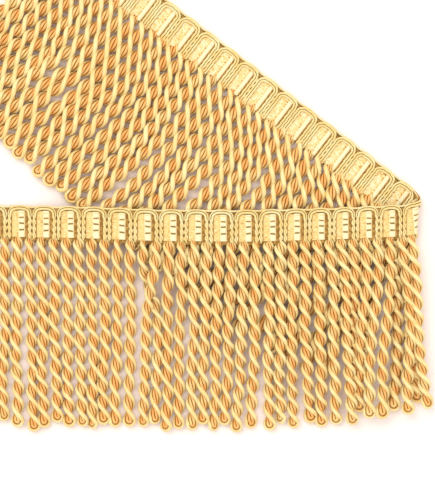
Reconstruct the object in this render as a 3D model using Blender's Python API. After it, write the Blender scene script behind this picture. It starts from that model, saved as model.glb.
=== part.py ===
"""A cord fringe trim: twisted cords hanging from a braided heading, folded once on a table.

The trim is one long strip. Its under stretch lies on the floor and runs up to the
left, and its over stretch is folded back across it and runs to the left. Seen from
straight above, +X is to the right and +Y is up the picture.

A flat place on the strip is (s, w, h): s along it, nought where the fold starts on the
top edge and less on the under stretch, w down from the top edge, and h off the middle
of its thickness, up on the under stretch and down on the over one. Sizes are in
millimetres until a mesh is finished, which turns them into metres.
"""

import math
from collections import namedtuple

import bmesh
import bpy
import numpy as np

MM = 0.001
SHARP_ANGLE = math.radians(30)

# Places read from the photograph
PIXEL = 1 / 3  # mm on the trim for one pixel
CENTRE_PX = (170.2, 179.5)  # the pixel over the origin
FOLD_PX = (414.5, 187.5)  # where the crease leaves the top edge

# The heading braid
HEADING_DEPTH = 12.0
LEG_HALF = 1.1  # half its thickness at an arch's legs and crown
PANEL_HALF = 0.6  # and inside an arch
EDGE_HALF = 0.6  # and at its rounded edges
CROWN = 0.9  # from the top edge to the top of an arch's crown
PANEL_TOP = 2.9
PANEL_BOTTOM = 11.2
ARCH_PITCH = 8.2
ARCHES = 36
FIRST_S = -145.5  # the far end of the under stretch

# One arch, from the middle of one column of legs to the next: where on the pitch,
# how far the top edge dips, and 1 on the legs or 0 in the panel
ArchPlace = namedtuple("ArchPlace", "at dip raised")
ARCH = (
    ArchPlace(0.0, 1.7, 1.0),
    ArchPlace(0.25, 0.5, 1.0),
    ArchPlace(0.33, 0.1, 0.0),
    ArchPlace(0.67, 0.1, 0.0),
    ArchPlace(0.75, 0.5, 1.0),
    ArchPlace(1.0, 1.7, 1.0),
)

# The fold
UNDER_SLOPE = math.radians(37.5)  # the under stretch below the level
FOLD_RADIUS = 2.0  # of the middle of the braid's thickness
FOLD_EARLY = 0.174  # how much sooner along the strip it turns, for each mm down the braid
FOLD_FULL_TOP = -0.4  # how far the fold stands out at the top edge, in its radius
FOLD_FULL_LOW = 0.69  # and at the lower edge
FOLD_ZONE = (-0.9, 11.6)  # the stretch that the fold bends
FOLD_STEP = 0.85
FOLD_ROWS = (PANEL_TOP, 5.4, 8.4, PANEL_BOTTOM)

# How the over stretch lies: photograph x, and how far it is right of and below a
# straight line there, in the photograph's pixels
OverShift = namedtuple("OverShift", "across right down")
OVER_SHIFTS = (
    OverShift(-20.0, -2.0, 10.3),
    OverShift(84.0, 0.0, 12.2),
    OverShift(154.0, 3.5, 15.0),
    OverShift(240.0, 5.0, 15.7),
    OverShift(330.0, 4.0, 13.5),
    OverShift(400.0, 0.5, 10.5),
    OverShift(420.0, -1.0, 7.9),
)
DRAPE_PX = (20.0, 80.0)  # between these it comes down from the under stretch to the floor

# The cords: two to an arch
CORD_PITCH = ARCH_PITCH / 2
CORD_WIDE = 3.5
CORD_THIN = 2.1
PATH_STEPS = 80
TWIST_STEP = 3.05  # a quarter turn
FIRST_STEP = 0.45  # least share of a quarter turn between a root and the first section
LAST_STEP = 0.3  # and between the last section and the tip
TIP_LENGTH = 0.9
TIP_SHARE = 0.55
CLEAR = 0.4  # between the over cords and what they lie on

# The strip of cord roots, just below the heading
ROOT_GAP = 0.3
ROOT_DEPTH = 1.2
ROOT_TOP = HEADING_DEPTH + ROOT_GAP
ROOT_BOTTOM = ROOT_TOP + ROOT_DEPTH
ROOT_HALF = 1.0  # half its thickness
ROOT_WIDE = 2.4  # of one cord where it leaves the strip
FIRST_CORD_S = 2.1  # cord 0, the last one before the fold
FOLD_CORDS_S = {1: 4.7, 2: 7.6}  # the fold holds one cord more than the pitch has room for
UNDER_CORDS = range(-35, 2)
OVER_CORDS = range(2, 37)
STRIP_BREAK_S = (6.0, 6.35)  # where the under strip ends and the over strip starts

# Under cords: s of the root, the degrees left of straight down that the cord runs at its
# tip, how many degrees less at its root, and the length
UnderLie = namedtuple("UnderLie", "s left turn length")
UNDER_LIES = (
    UnderLie(-145.0, 56.0, 20.0, 59.0),
    UnderLie(-119.0, 55.0, 20.0, 59.2),
    UnderLie(-99.0, 53.0, 20.0, 59.8),
    UnderLie(-79.0, 50.0, 20.0, 60.4),
    UnderLie(-59.0, 45.0, 20.0, 60.4),
    UnderLie(-46.0, 41.0, 20.0, 60.2),
    UnderLie(-32.0, 36.0, 20.0, 60.0),
    UnderLie(-19.0, 29.0, 20.0, 59.6),
    UnderLie(-6.0, 21.0, 18.0, 59.6),
    UnderLie(2.1, 2.2, 9.0, 61.8),
    UnderLie(4.7, -2.5, -1.0, 54.6),
)
TURN_BEND = 4  # the bend dies away with this power of the length left

# Over cords: number from the fold, and the photograph's pixel at the tip
OverTip = namedtuple("OverTip", "number across down")
OVER_TIPS = (
    OverTip(2, 428.0, 409.0),
    OverTip(3, 408.0, 414.0),
    OverTip(4, 387.5, 418.0),
    OverTip(5, 377.0, 418.0),
    OverTip(6, 366.5, 415.0),
    OverTip(7, 356.0, 418.0),
    OverTip(8, 345.5, 425.0),
    OverTip(9, 334.5, 425.0),
    OverTip(10, 322.0, 427.5),
    OverTip(11, 310.5, 423.0),
    OverTip(12, 294.0, 429.0),
    OverTip(13, 281.0, 424.0),
    OverTip(14, 270.0, 431.0),
    OverTip(15, 252.0, 429.0),
    OverTip(16, 236.5, 433.0),
    OverTip(17, 225.0, 426.0),
    OverTip(18, 213.5, 432.0),
    OverTip(19, 203.0, 425.0),
    OverTip(20, 192.0, 431.0),
    OverTip(21, 179.0, 430.0),
    OverTip(22, 166.5, 432.0),
    OverTip(23, 155.0, 425.0),
    OverTip(24, 143.0, 428.0),
    OverTip(25, 129.0, 427.0),
    OverTip(26, 114.5, 427.5),
    OverTip(27, 103.0, 425.0),
    OverTip(28, 92.5, 430.0),
    OverTip(29, 82.0, 427.5),
    OverTip(30, 69.0, 427.0),
    OverTip(31, 57.0, 423.0),
    OverTip(32, 44.0, 428.0),
    OverTip(33, 33.0, 432.0),
    OverTip(34, 17.5, 427.0),
    OverTip(35, 3.0, 422.0),
    OverTip(36, -9.0, 425.0),
)
LEAN_BEND = 1.4  # the lean grows with this power of the length
RAMP = 13.0  # over which an over cord comes down to the floor
RAMP_START = 1.0  # how far past the under cords' tips it starts to
ROOT_EASE = 1.3  # over which a cord leaves its root's height

# How uneven the under cords are: degrees, and millimetres of length
UNEVEN_TURN = 0.4
UNEVEN_LENGTH = 0.9
UNEVEN_RATE = 12.9898
UNEVEN_START = 4.1
UNEVEN_SPREAD = 43758.5453
LENGTHS_FROM = 100  # so that lengths and angles don't follow the same pattern

# Finishes
BRAID_COLOUR = (0.93, 0.74, 0.33)
BRAID_ROUGHNESS = 0.55
CORD_COLOUR = (0.90, 0.62, 0.20)
CORD_ROUGHNESS = 0.5


def clear_scene():
    for obj in list(bpy.data.objects):
        bpy.data.objects.remove(obj, do_unlink=True)


def material(name, colour, roughness):
    made = bpy.data.materials.new(name)
    made.use_nodes = True
    shader = made.node_tree.nodes["Principled BSDF"]
    shader.inputs["Base Color"].default_value = (*colour, 1.0)
    shader.inputs["Roughness"].default_value = roughness
    shader.inputs["Metallic"].default_value = 0.0
    return made


def finished(name, mesh_builder, finish):
    """Turns a bmesh in millimetres into an object in metres with its faces pointing out."""
    bmesh.ops.recalc_face_normals(mesh_builder, faces=mesh_builder.faces)
    bmesh.ops.scale(mesh_builder, vec=(MM, MM, MM), verts=mesh_builder.verts)
    mesh = bpy.data.meshes.new(name)
    mesh_builder.to_mesh(mesh)
    mesh_builder.free()
    mesh.materials.append(finish)
    mesh.shade_smooth()
    mesh.set_sharp_from_angle(angle=SHARP_ANGLE)
    made = bpy.data.objects.new(name, mesh)
    bpy.context.scene.collection.objects.link(made)
    return made


def column(rows, name):
    return [getattr(row, name) for row in rows]


def looked_up(rows, key, name, value):
    """The value of one column of a table, between the rows around a value of its key."""
    return float(np.interp(value, column(rows, key), column(rows, name)))


def ease(value):
    """Nought below 0, one above 1, and a smooth step between."""
    value = min(max(value, 0.0), 1.0)
    return value * value * (3.0 - 2.0 * value)


def from_pixel(across, down):
    """A place in the photograph's frame, in millimetres from the origin."""
    return (across - CENTRE_PX[0]) * PIXEL, (CENTRE_PX[1] - down) * PIXEL


def to_pixel_across(x):
    return x / PIXEL + CENTRE_PX[0]


# The fold, as unit vectors: along the strip, down it, and square to the crease
ALONG = np.array([math.cos(UNDER_SLOPE), -math.sin(UNDER_SLOPE)])
DOWN = np.array([-math.sin(UNDER_SLOPE), -math.cos(UNDER_SLOPE)])
ACROSS_CREASE = np.array([math.cos(UNDER_SLOPE / 2), -math.sin(UNDER_SLOPE / 2)])
FOLD_CORNER = np.array(from_pixel(*FOLD_PX))
HALF_TURN = math.pi * FOLD_RADIUS


def drape_drop(x):
    """How far the over stretch has come down towards the floor."""
    start, end = DRAPE_PX
    return 2 * FOLD_RADIUS * (1.0 - ease((to_pixel_across(x) - start) / (end - start)))


def on_strip(s, w, h):
    """A flat place on the strip, where the folded strip holds it."""
    flat = FOLD_CORNER + s * ALONG + w * DOWN
    past = float(np.dot(flat - FOLD_CORNER, ACROSS_CREASE))
    past_start = past + FOLD_EARLY * w
    if past_start <= 0.0:
        return np.array([flat[0], flat[1], LEG_HALF + h])
    turn = min(past_start / FOLD_RADIUS, math.pi)
    height = LEG_HALF + FOLD_RADIUS - (FOLD_RADIUS - h) * math.cos(turn)
    share = (1.0 - math.cos(turn)) / 2
    full = FOLD_FULL_TOP + (FOLD_FULL_LOW - FOLD_FULL_TOP) * w / HEADING_DEPTH
    out = share * (HALF_TURN - 2.0 * past) + (full * FOLD_RADIUS - h) * math.sin(turn)
    x, y = flat + out * ACROSS_CREASE
    at = to_pixel_across(x)
    right = share * PIXEL * looked_up(OVER_SHIFTS, "across", "right", at)
    below = share * PIXEL * looked_up(OVER_SHIFTS, "across", "down", at)
    return np.array([x + right, y - below, height - drape_drop(x)])


def heading_stations():
    """The places along the strip where the heading's outline or relief turns."""
    within = column(ARCH, "at")[:-1]
    places = {FIRST_S + ARCH_PITCH * (arch + at) for arch in range(ARCHES) for at in within}
    places.add(FIRST_S + ARCH_PITCH * ARCHES)
    steps = round((FOLD_ZONE[1] - FOLD_ZONE[0]) / FOLD_STEP)
    for extra in np.linspace(*FOLD_ZONE, steps + 1):
        if min(abs(extra - place) for place in places) > FOLD_STEP / 2:
            places.add(float(extra))
    return sorted(places)


def heading_rows(s, relief, face_up):
    """The (w, h) of one face of the heading at s, from its top edge to its lower edge."""
    at = ((s - FIRST_S) / ARCH_PITCH) % 1.0
    dip = looked_up(ARCH, "at", "dip", at)
    raised = relief * (1.0 - looked_up(ARCH, "at", "raised", at))
    sign = 1.0 if face_up else -1.0
    edge = LEG_HALF + relief * (EDGE_HALF - LEG_HALF)
    inside = LEG_HALF + raised * (PANEL_HALF - LEG_HALF)
    rows = [(dip, sign * edge)]
    if FOLD_ZONE[0] <= s <= FOLD_ZONE[1]:
        rows.append((dip + CROWN, sign * LEG_HALF))
        rows.extend((w, sign * inside) for w in FOLD_ROWS)
    elif relief > 0.0:
        rows.append((dip + CROWN, sign * LEG_HALF))
        rows.append((PANEL_TOP, sign * inside))
        rows.append((PANEL_BOTTOM, sign * inside))
    rows.append((HEADING_DEPTH, sign * edge))
    return rows


def span_faces(builder, first, second):
    """Faces between two lists of (w, vertex), where one may have rows that the other lacks."""
    coarse, fine = sorted((first, second), key=len)
    start = 0
    for (_, upper), (low_w, lower) in zip(coarse, coarse[1:]):
        end = start + 1
        while len(fine) > len(coarse) and end < len(fine) - 1 and fine[end][0] < low_w - 1e-6:
            end += 1
        between = [vertex for _, vertex in fine[start : end + 1]]
        builder.faces.new([upper, lower, *reversed(between)])
        start = end


def make_heading(finish):
    """The braid, folded in one piece, with raised arches on whichever face is uppermost."""
    builder = bmesh.new()
    stations = []
    for s in heading_stations():
        under = 1.0 if s < FOLD_ZONE[0] else 0.0
        over = ease((s - FOLD_ZONE[0]) / (FOLD_ZONE[1] - FOLD_ZONE[0]))
        faces = []
        for relief, face_up in ((under, True), (over, False)):
            rows = heading_rows(s, relief, face_up)
            faces.append([(w, builder.verts.new(on_strip(s, w, h))) for w, h in rows])
        stations.append(faces)
    for (up, down), (next_up, next_down) in zip(stations, stations[1:]):
        span_faces(builder, up, next_up)
        span_faces(builder, down, next_down)
        for edge in (0, -1):
            corners = (up[edge][1], next_up[edge][1], next_down[edge][1], down[edge][1])
            builder.faces.new(corners)
    for up, down in (stations[0], stations[-1]):
        builder.faces.new([v for _, v in up] + [v for _, v in reversed(down)])
    return finished("heading", builder, finish)


def uneven(number, amount):
    """The same small departure each time for a cord's number, between plus and minus amount."""
    wave = math.sin(number * UNEVEN_RATE + UNEVEN_START) * UNEVEN_SPREAD
    return amount * (2.0 * (wave - math.floor(wave)) - 1.0)


def root_s(number):
    """Where along the strip a cord hangs."""
    if number in FOLD_CORDS_S:
        return FOLD_CORDS_S[number]
    return FIRST_CORD_S + CORD_PITCH * (number - 1 if number > 0 else number)


def under_path(number):
    """The middle of an under cord, as points a short step apart, all on the floor."""
    s = root_s(number)
    root = on_strip(s, ROOT_BOTTOM, 0.0)
    left_at_tip = looked_up(UNDER_LIES, "s", "left", s) + uneven(number, UNEVEN_TURN)
    turn = looked_up(UNDER_LIES, "s", "turn", s)
    length = looked_up(UNDER_LIES, "s", "length", s)
    length += uneven(number + LENGTHS_FROM, UNEVEN_LENGTH)
    step = length / PATH_STEPS
    points = [root]
    for index in range(PATH_STEPS):
        share = (index + 0.5) / PATH_STEPS
        left = math.radians(left_at_tip - turn * (1.0 - share) ** TURN_BEND)
        x = points[-1][0] - step * math.sin(left)
        y = points[-1][1] - step * math.cos(left)
        gone = step * (index + 1)
        z = root[2] + (CORD_WIDE / 2 - root[2]) * ease(gone / ROOT_EASE)
        points.append(np.array([x, y, z]))
    return points


def under_reach():
    """The line of the under cords' tips, as x and y from left to right."""
    tips = sorted((tuple(under_path(number)[-1][:2]) for number in UNDER_CORDS))
    return [x for x, _ in tips], [y for _, y in tips]


def over_path(number, reach):
    """The middle of an over cord: on the under cords as far as those reach, then down."""
    root = on_strip(root_s(number), ROOT_BOTTOM, 0.0)
    tip = from_pixel(
        looked_up(OVER_TIPS, "number", "across", number),
        looked_up(OVER_TIPS, "number", "down", number),
    )
    lean = tip[0] - root[0]
    length = root[1] - tip[1] - TIP_LENGTH
    low = CORD_WIDE / 2
    high = CORD_WIDE + CLEAR + CORD_WIDE / 2
    points = [root]
    for index in range(1, PATH_STEPS + 1):
        share = index / PATH_STEPS
        x = root[0] + lean * share**LEAN_BEND
        y = root[1] - length * share
        past_tips = float(np.interp(x, *reach)) - y
        held = low + (high - low) * (1.0 - ease((past_tips - RAMP_START) / RAMP))
        sagging = low + (root[2] - low) * (1.0 - ease(length * share / RAMP))
        eased = ease(length * share / ROOT_EASE)
        z = root[2] * (1.0 - eased) + max(held, sagging) * eased
        points.append(np.array([x, y, z]))
    return points


def along_path(points, gone):
    """The place and direction on a path after some length of it."""
    lengths = [0.0]
    for start, end in zip(points, points[1:]):
        lengths.append(lengths[-1] + float(np.linalg.norm(end - start)))
    place = np.array([np.interp(gone, lengths, [p[axis] for p in points]) for axis in range(3)])
    index = min(int(np.searchsorted(lengths, gone)), len(points) - 1)
    index = max(index, 1)
    direction = points[index] - points[index - 1]
    return place, direction / np.linalg.norm(direction), lengths[-1]


def section(builder, place, direction, quarters, share):
    """Four corners of a cord's flat section, turned by a number of quarter turns."""
    side = np.cross(direction, (0.0, 0.0, 1.0))
    side /= np.linalg.norm(side)
    top = np.cross(side, direction)
    angle = quarters * math.pi / 2
    wide = math.cos(angle) * side + math.sin(angle) * top
    thin = math.cos(angle) * top - math.sin(angle) * side
    half_wide = share * CORD_WIDE / 2
    half_thin = share * CORD_THIN / 2
    corners = []
    for a, b in ((1, 1), (-1, 1), (-1, -1), (1, -1)):
        corner = place + a * half_wide * wide + b * half_thin * thin
        corner[2] = max(corner[2], 0.0)
        corners.append(builder.verts.new(corner))
    return corners


def cord_faces(builder, first, second, turned):
    """The sides between two sections, split so that the ridges follow the twist."""
    for corner in range(4):
        after = (corner + 1) % 4
        if turned:
            builder.faces.new((first[corner], first[after], second[corner]))
            builder.faces.new((first[after], second[after], second[corner]))
        else:
            builder.faces.new((first[corner], first[after], second[after], second[corner]))


def add_cord(builder, root, points, phase):
    """One twisted cord from its root's four corners to its tip."""
    total = along_path(points, 0.0)[2]
    gone = TWIST_STEP - (phase % TWIST_STEP)
    if gone < FIRST_STEP * TWIST_STEP:
        gone += TWIST_STEP
    quarters = round((phase + gone) / TWIST_STEP) % 2
    turned = quarters == 1
    last = root
    while gone < total - LAST_STEP * TWIST_STEP:
        place, direction, _ = along_path(points, gone)
        corners = section(builder, place, direction, quarters, 1.0)
        cord_faces(builder, last, corners, turned)
        last = corners
        quarters += 1
        turned = True
        gone += TWIST_STEP
    place, direction, _ = along_path(points, total)
    tip = section(builder, place + TIP_LENGTH * direction, direction, quarters, TIP_SHARE)
    cord_faces(builder, last, tip, True)
    builder.faces.new(tip)


def make_fringe(name, finish, numbers, path, s_range):
    """Cords that stand apart but for their roots, which one narrow strip holds."""
    builder = bmesh.new()
    stations = [(s, None) for s in s_range]
    for number in numbers:
        stations.append((root_s(number) - ROOT_WIDE / 2, number))
        stations.append((root_s(number) + ROOT_WIDE / 2, None))
    stations.sort(key=lambda station: station[0])
    rings = []
    for s, _ in stations:
        corners = (
            (ROOT_TOP, ROOT_HALF),
            (ROOT_BOTTOM, ROOT_HALF),
            (ROOT_BOTTOM, -ROOT_HALF),
            (ROOT_TOP, -ROOT_HALF),
        )
        rings.append([builder.verts.new(on_strip(s, w, h)) for w, h in corners])
    phase = 0.0
    previous = None
    for (_, number), ring, after in zip(stations, rings, rings[1:]):
        for corner in (0, 2, 3):
            beside = (corner + 1) % 4
            builder.faces.new((ring[corner], ring[beside], after[beside], after[corner]))
        if number is None:
            builder.faces.new((ring[1], ring[2], after[2], after[1]))
            continue
        points = path(number)
        heading_for = points[len(points) // 2] - points[0]
        heading_for /= np.linalg.norm(heading_for)
        if previous is not None:
            phase += float(np.dot(points[0] - previous, heading_for)) + TWIST_STEP
        previous = points[0]
        if number in UNDER_CORDS:
            root = [ring[1], after[1], after[2], ring[2]]
        else:
            root = [after[2], ring[2], ring[1], after[1]]
        add_cord(builder, root, points, phase)
    builder.faces.new(rings[0])
    builder.faces.new(rings[-1])
    return finished(name, builder, finish)


def main():
    clear_scene()
    braid = material("braid", BRAID_COLOUR, BRAID_ROUGHNESS)
    cord = material("cord", CORD_COLOUR, CORD_ROUGHNESS)
    make_heading(braid)
    last_s = FIRST_S + ARCH_PITCH * ARCHES
    under_ends = (FIRST_S, STRIP_BREAK_S[0])
    over_ends = (STRIP_BREAK_S[1], last_s)
    make_fringe("fringe_under", cord, UNDER_CORDS, under_path, under_ends)
    reach = under_reach()
    make_fringe("fringe_over", cord, OVER_CORDS, lambda n: over_path(n, reach), over_ends)


main()
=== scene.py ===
"""Dresses the cord fringe trim: yarn by yarn, on the places where its solids lie.

The trim's layout is repeated here from its solids. A flat place on the strip is
(s, w, h): s along it, nought where the fold starts on the top edge, w down from the top
edge, and h off the middle of its thickness. The face of the braid is on the side of
negative h, and its back on the side of positive h. Sizes are in millimetres until a mesh
is made, which turns them into metres.
"""

import math
from collections import namedtuple

import bpy
import numpy as np
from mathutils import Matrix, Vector


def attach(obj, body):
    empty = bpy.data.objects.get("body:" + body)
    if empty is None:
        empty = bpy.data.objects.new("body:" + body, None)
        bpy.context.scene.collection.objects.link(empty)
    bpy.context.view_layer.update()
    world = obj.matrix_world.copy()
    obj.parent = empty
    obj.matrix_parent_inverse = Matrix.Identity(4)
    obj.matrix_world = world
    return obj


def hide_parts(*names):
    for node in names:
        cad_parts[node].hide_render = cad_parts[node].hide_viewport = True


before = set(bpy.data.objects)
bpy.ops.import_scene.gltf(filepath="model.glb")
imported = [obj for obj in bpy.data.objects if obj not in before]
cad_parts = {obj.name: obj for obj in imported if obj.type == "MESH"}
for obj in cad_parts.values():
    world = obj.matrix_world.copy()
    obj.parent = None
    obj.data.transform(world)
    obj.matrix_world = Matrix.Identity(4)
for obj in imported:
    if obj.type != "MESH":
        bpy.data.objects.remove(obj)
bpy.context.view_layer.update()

MM = 0.001
FULL_TURN = 2.0 * math.pi

# The photograph and the camera
IMAGE_PX = (435, 495)
PIXEL = 1 / 3  # mm on the trim for one pixel
CENTRE_PX = (170.2, 179.5)  # the pixel over the origin
FOLD_PX = (414.5, 187.5)
CAMERA_HEIGHT = 600.0
SHARP_HEIGHT = 4.0  # where a pixel is PIXEL across
SENSOR = 36.0
CLIP = (0.01, 10.0)

# The heading, as in the solids
HEADING_DEPTH = 12.0
LEG_HALF = 1.1
ARCH_PITCH = 8.2
ARCHES = 36
FIRST_S = -145.5
UNDER_SLOPE = math.radians(37.5)
FOLD_RADIUS = 2.0
FOLD_EARLY = 0.174
FOLD_FULL_TOP = -0.4
FOLD_FULL_LOW = 0.69
OverShift = namedtuple("OverShift", "across right down")
OVER_SHIFTS = (
    OverShift(-20.0, -2.0, 10.3),
    OverShift(84.0, 0.0, 12.2),
    OverShift(154.0, 3.5, 15.0),
    OverShift(240.0, 5.0, 15.7),
    OverShift(330.0, 4.0, 13.5),
    OverShift(400.0, 0.5, 10.5),
    OverShift(420.0, -1.0, 7.9),
)
DRAPE_PX = (20.0, 80.0)

# The cords' places, as in the solids
CORD_PITCH = ARCH_PITCH / 2
ROOT_BOTTOM = 13.5
FIRST_CORD_S = 2.1
FOLD_CORDS_S = {1: 4.7, 2: 7.6}
OVER_ASIDE = 0.9  # how far the over cords hang to the left of the solid ones
UNDER_CORDS = range(-35, 2)
OVER_CORDS = range(2, 37)
UnderLie = namedtuple("UnderLie", "s left turn length")
UNDER_LIES = (
    UnderLie(-145.0, 56.0, 20.0, 59.0),
    UnderLie(-119.0, 55.0, 20.0, 59.2),
    UnderLie(-99.0, 53.0, 20.0, 59.8),
    UnderLie(-79.0, 50.0, 20.0, 60.4),
    UnderLie(-59.0, 45.0, 20.0, 60.4),
    UnderLie(-46.0, 41.0, 20.0, 60.2),
    UnderLie(-32.0, 36.0, 20.0, 60.0),
    UnderLie(-19.0, 29.0, 20.0, 59.6),
    UnderLie(-6.0, 21.0, 18.0, 59.6),
    UnderLie(2.1, 2.2, 9.0, 61.8),
)
TURN_BEND = 4

# Where the cords end, from the fold on: the photograph's pixel at the tip. Cords 0 and 1
# are the last under ones.
Tip = namedtuple("Tip", "number across down")
TIPS = (
    Tip(0, 393.0, 411.0),
    Tip(1, 419.0, 402.0),
    Tip(2, 428.0, 409.0),
    Tip(3, 408.0, 414.0),
    Tip(4, 381.0, 418.0),
    Tip(5, 369.0, 418.0),
    Tip(6, 359.5, 412.0),
    Tip(7, 355.5, 409.0),
    Tip(8, 353.0, 425.0),
    Tip(9, 336.5, 425.0),
    Tip(10, 322.0, 427.5),
    Tip(11, 311.5, 423.0),
    Tip(12, 294.0, 429.0),
    Tip(13, 281.0, 424.0),
    Tip(14, 270.0, 431.0),
    Tip(15, 251.0, 429.0),
    Tip(16, 236.5, 433.0),
    Tip(17, 224.5, 426.0),
    Tip(18, 213.5, 432.0),
    Tip(19, 203.0, 425.0),
    Tip(20, 192.0, 431.0),
    Tip(21, 178.5, 430.0),
    Tip(22, 166.0, 432.0),
    Tip(23, 143.0, 428.0),
    Tip(24, 154.0, 425.0),
    Tip(25, 129.0, 427.0),
    Tip(26, 114.5, 427.5),
    Tip(27, 103.0, 425.0),
    Tip(28, 92.5, 430.0),
    Tip(29, 82.5, 427.5),
    Tip(30, 69.0, 427.0),
    Tip(31, 57.0, 423.0),
    Tip(32, 43.5, 428.0),
    Tip(33, 33.5, 432.0),
    Tip(34, 17.0, 427.0),
    Tip(35, 3.0, 422.0),
    Tip(36, -9.0, 425.0),
)
TIP_LOOP = 2.15  # how far the loop at a tip stands past the path's end

# Pixels on the way of the cords that don't hang straight, and how far such a cord is
# lifted there, in millimetres, where it crosses another
Way = namedtuple("Way", "number across down lift")
WAYS = (
    Way(0, 398.0, 285.0, 0.0),
    Way(0, 397.0, 325.0, 0.0),
    Way(0, 398.5, 357.0, 0.0),
    Way(0, 396.0, 390.0, 0.0),
    Way(1, 411.0, 300.0, 0.0),
    Way(1, 412.5, 370.0, 0.0),
    Way(2, 417.0, 290.0, 0.0),
    Way(2, 418.5, 345.0, 0.0),
    Way(2, 421.5, 371.0, 0.0),
    Way(3, 404.8, 265.0, 0.0),
    Way(3, 411.5, 318.0, 0.0),
    Way(3, 408.8, 350.0, 0.0),
    Way(3, 406.4, 383.0, 0.0),
    Way(4, 391.0, 278.0, 0.0),
    Way(4, 386.0, 326.0, 0.0),
    Way(4, 381.0, 368.0, 0.0),
    Way(4, 384.0, 393.0, 0.0),
    Way(5, 378.2, 285.0, 0.0),
    Way(5, 373.5, 321.0, 0.0),
    Way(5, 369.5, 355.0, 0.3),
    Way(5, 369.0, 392.0, 0.6),
    Way(6, 368.0, 272.0, 0.0),
    Way(6, 361.5, 322.0, 0.0),
    Way(6, 360.0, 366.0, -0.4),
    Way(6, 359.5, 392.0, -2.0),
    Way(7, 356.0, 272.0, 0.0),
    Way(7, 354.5, 300.0, -1.6),
    Way(7, 354.5, 392.0, -2.4),
    Way(8, 346.5, 280.0, 0.0),
    Way(8, 347.0, 340.0, 0.3),
    Way(8, 350.0, 395.0, 0.6),
    Way(9, 334.5, 285.0, 0.0),
    Way(9, 333.0, 335.0, 0.0),
    Way(9, 335.0, 380.0, 0.0),
    Way(10, 319.5, 275.0, 0.0),
    Way(10, 319.5, 330.0, 0.0),
    Way(11, 306.0, 280.0, 0.0),
    Way(11, 304.0, 322.0, 0.0),
    Way(11, 307.5, 375.0, 0.0),
    Way(12, 293.5, 275.0, 0.0),
    Way(12, 291.5, 316.0, 0.0),
    Way(12, 292.5, 390.0, 0.0),
    Way(23, 155.5, 262.0, 0.4),
    Way(23, 153.0, 282.0, 2.6),
    Way(23, 148.0, 304.0, 2.0),
    Way(23, 145.5, 335.0, 0.0),
    Way(24, 141.5, 264.0, -0.6),
    Way(24, 147.0, 282.0, -2.4),
    Way(24, 156.5, 304.0, -2.0),
    Way(24, 158.0, 325.0, 0.0),
    Way(24, 157.0, 370.0, 0.0),
)
WAY_SMOOTHED = 40
LEAN_BEND = 1.4
RAMP = 13.0
RAMP_START = 1.0
PATH_STEPS = 80
UNEVEN_TURN = 0.4
UNEVEN_LENGTH = 0.9
UNEVEN_RATE = 12.9898
UNEVEN_START = 4.1
UNEVEN_SPREAD = 43758.5453
LENGTHS_FROM = 100

# A twisted cord: two plies, each of one pale yarn outside and two thinner ones inside
CORD_RADIUS = 2.12
PALE_RADIUS = 0.68  # half the width of the pale yarn, which is flattened round its ply
PALE_FLATNESS = 0.8
PALE_OUT = 1.56  # from the cord's middle to the pale yarn's
PALE_SIDES = 8
INNER_RADIUS = 0.5
INNER_OUT = 0.5  # an inner yarn's place: towards its ply
INNER_ASIDE = 0.24  # and to one side
INNER_SIDES = 6
UNDER_THICKNESS = 1.16  # the under cords are a little fuller
UNDER_RADIUS = CORD_RADIUS * UNDER_THICKNESS
LAY = 11.3  # one full turn of the twist
STEPS_PER_LAY = 16
LOOP_STEPS = 7
LINE_SMOOTHED = 2
ROOT_W = 10.4  # where a cord starts, inside the braid
ROOT_POINTS = 3
ROOT_SMOOTHED = 3
ROOT_FULL = 2.6  # from there to where it is full
ROOT_SHARE = 0.42  # its thickness where it starts
LENS_AT = 6.8  # from there to the first place where the plies lie side by side
HIGH = 5.6  # a cord's middle where it lies on other cords
TIP_LENGTH = 0.9  # the last part of a solid cord, past its path

# How much one cord differs from the next
UNDER_SEED = 11
OVER_SEED = 12
LAY_SPREAD = 0.05
START_SPREAD = 0.3
DRIFT_SPREAD = 0.6
THICKNESS_SPREAD = 0.03
SWELL = 0.03
SWELL_LENGTHS = (18.0, 40.0)
PHASES = (0.0, 6.0)
TIP_STRETCH = 3.5  # the stretch before the loop, where a cord may be thicker
TIP_SWELLS = (0.0, 0.14)
Sway = namedtuple("Sway", "length size")
SWAYS = (Sway(52.0, 0.36), Sway(27.0, 0.24), Sway(14.0, 0.1))
SWAY_GROWS = 25.0  # past the root
SWAY_ENDS = 15.0  # before the tip
CALM = 0.35  # the share of its sway that a cord keeps where its way is given

# The yarns round the arches
HEADING_SEED = 21
STRIP_END = FIRST_S + ARCH_PITCH * ARCHES
STRIP_YARN_SIDES = 6
FACE_HALF = 3.4  # half the width of a face arch, between the middles of its legs
BACK_HALF = 3.25
CROWN_W = 0.85
BACK_CROWN_W = 1.3
CROWN_POWER = 2.6  # the crown is a little squarer than an ellipse, whose power is 2
CROWN_POINTS = 26
SPRING_W = 3.4  # where the crown goes over into the legs
FACE_END_W = 11.6
BACK_END_W = 12.5
FACE_STEP = 0.3
BACK_STEP = 0.42
LEG_WAVE = 2.2
YARN_HIGH = 0.62  # a yarn's middle above the middle of the strip

# The two yarns of a face arch, the outer one (side -1) first, with their radius on the crown
FaceYarn = namedtuple("FaceYarn", "side radius")
FACE_YARNS = (FaceYarn(-1.0, 0.27), FaceYarn(1.0, 0.42))
FACE_FLATNESS = 0.95
LEG_RADIUS = 0.36
APART = 0.38  # from the middle of the two yarns to one of them, on the crown
LEG_CLOSER = 0.04
LEG_SWAY = 0.1
CROWN_ROLL = 0.08
LEG_ROLL = 0.14
CROWN_TILT = 0.1
TWIST_GROWS = 1.5  # past the spring
TWIST_SPREAD = 0.3
SINKS = 0.9  # the end of a leg that goes down into the braid
SUNK = 0.6
THINNED = 0.35

# The two yarns of a back arch
BACK_RADIUS = 0.4
BACK_APART = 0.43
BACK_RIPPLE = 0.08

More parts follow.
